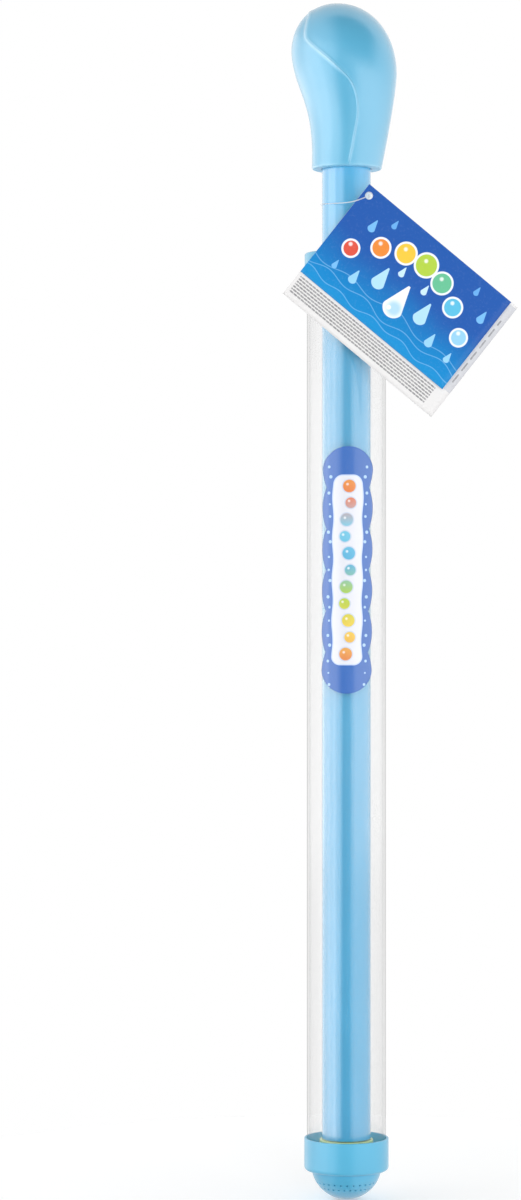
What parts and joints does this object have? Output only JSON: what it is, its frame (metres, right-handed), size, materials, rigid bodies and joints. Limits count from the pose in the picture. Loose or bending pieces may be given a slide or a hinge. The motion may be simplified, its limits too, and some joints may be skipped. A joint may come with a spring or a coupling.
{
  "type": "water squirter",
  "caption": "Hand-pumped water squirter: a clear barrel with a domed spray nozzle, a hollow plunger rod with a leaning knob handle, a printed barrel label and a card tag on a loop.",
  "frame": {"origin": "on the barrel's axis, halfway up the barrel, where a hand or a tube clip holds it", "axes": "+Z along the barrel's axis from the spray nozzle to the handle, front with the label towards -Y, +X to the right of the front"},
  "size_m": [0.1163, 0.0494, 0.5985],
  "materials": {
    "clear_barrel": "clear extruded tube, glossy",
    "blue_plastic": "sky blue moulding, semi-gloss",
    "yellow_plastic": "pale yellow moulding",
    "seal_rubber": "black soft ring",
    "rod_plastic": "sky blue extruded tube, glossy",
    "handle_plastic": "sky blue moulding, semi-gloss",
    "label_film": "printed film, satin",
    "tag_print": "printed card, coated",
    "tag_paper": "white card",
    "loop_plastic": "translucent white loop"
  },
  "bodies": {
    "barrel": {"barrel_tube": "clear_barrel", "guide_cap": "blue_plastic", "nozzle_collar": "blue_plastic", "spray_dome": "blue_plastic", "barrel_label": "label_film"},
    "seal": {"piston_seal": "seal_rubber"},
    "plunger": {"plunger_rod": "rod_plastic", "piston_core": "yellow_plastic", "handle_left_shell": "handle_plastic", "handle_right_shell": "handle_plastic"},
    "hang_tag": {"tag_cover": "tag_print", "tag_leaf": "tag_paper", "tag_fastener": "loop_plastic"}
  },
  "joints": [
    {"name": "pump_slide", "type": "slide", "parent": "barrel", "child": "seal", "axis": [0, 0, 1], "range_m": [0, 0.43]},
    {"name": "plunger_twist", "type": "hinge", "parent": "seal", "child": "plunger", "pos_m": [0, 0, 0], "axis": [0, 0, 1], "continuous": true},
    {"name": "tag_swivel", "type": "hinge", "parent": "plunger", "child": "hang_tag", "pos_m": [0, 0, 0], "axis": [0, 0, 1], "continuous": true}
  ]
}
